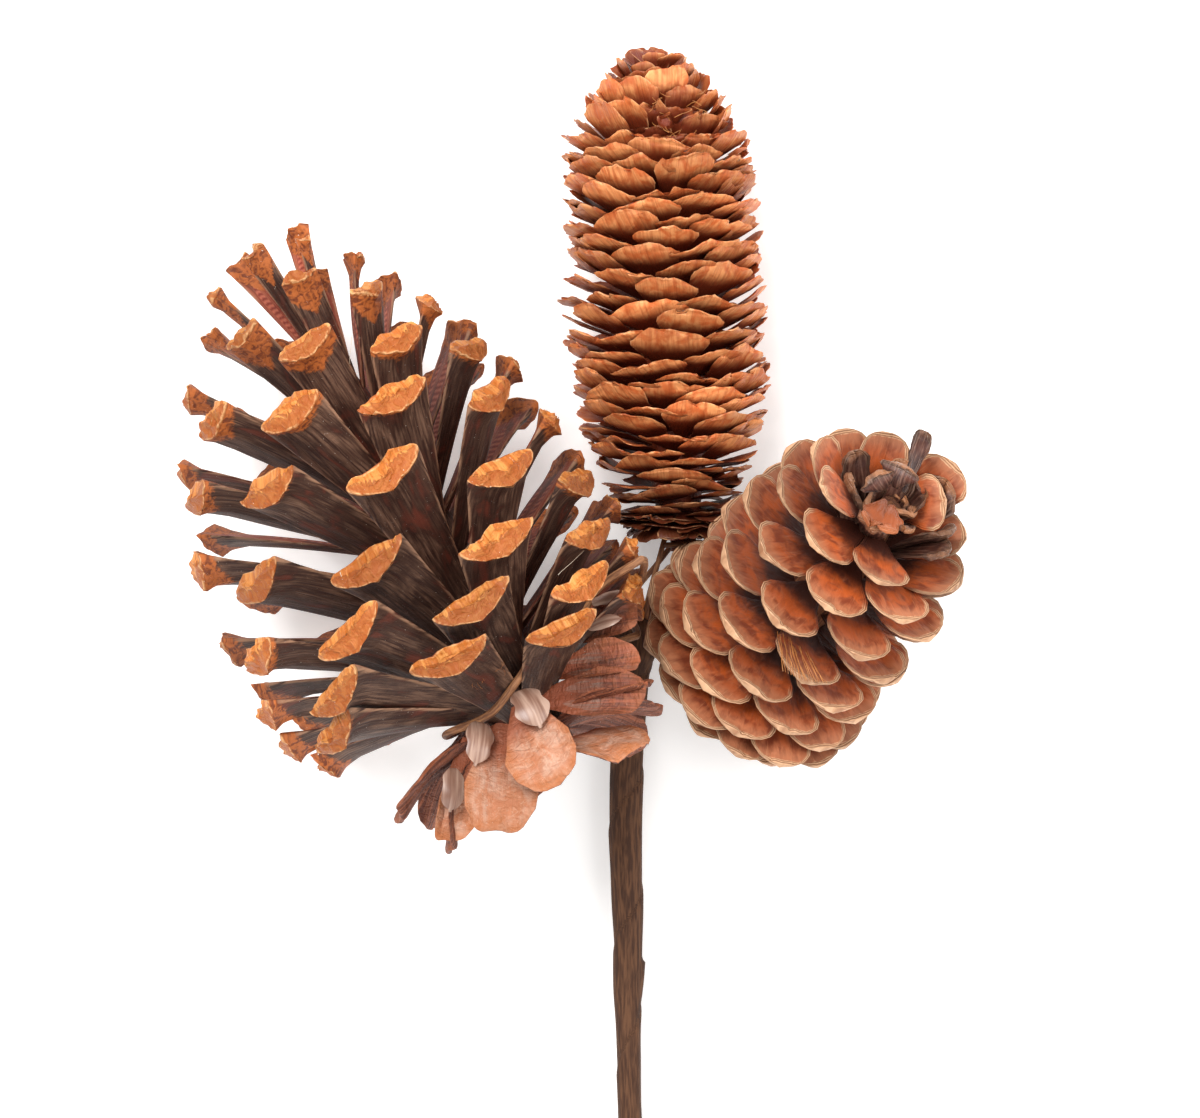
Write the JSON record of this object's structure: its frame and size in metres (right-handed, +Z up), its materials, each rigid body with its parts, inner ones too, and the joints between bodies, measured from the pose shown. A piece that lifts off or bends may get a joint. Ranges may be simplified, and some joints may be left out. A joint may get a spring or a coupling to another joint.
{
  "type": "pine cone pick",
  "caption": "Dried cone pick for floral work: a large open pine cone, a long spruce cone and a small pine cone wired to one paper-taped stem.",
  "frame": {"origin": "middle of the pick's outline, on the surface that it lies on", "axes": "+Y from the cut end of the stem towards the cones' tips, +Z up from the surface, +X towards the small pine cone"},
  "size_m": [0.1982, 0.3186, 0.1064],
  "materials": {
    "large_pine_cone": "dark weathered scales with bright worn ends, matt",
    "spruce_cone": "thin striated orange-tan scales, satin",
    "small_pine_cone": "mottled red-brown scales with cream rims, matt",
    "stem_core": "bare cut wood, matt",
    "stem_tape": "dark brown crepe paper tape, matt",
    "wire_large_cone": "brown paper covering, satin",
    "wire_spruce_cone": "brown paper covering, satin",
    "wire_small_cone": "brown paper covering, satin"
  },
  "bodies": {
    "root": {"large_pine_cone": "large_pine_cone", "spruce_cone": "spruce_cone", "small_pine_cone": "small_pine_cone", "stem_core": "stem_core", "stem_tape": "stem_tape", "wire_large_cone": "wire_large_cone", "wire_spruce_cone": "wire_spruce_cone", "wire_small_cone": "wire_small_cone"}
  },
  "joints": []
}
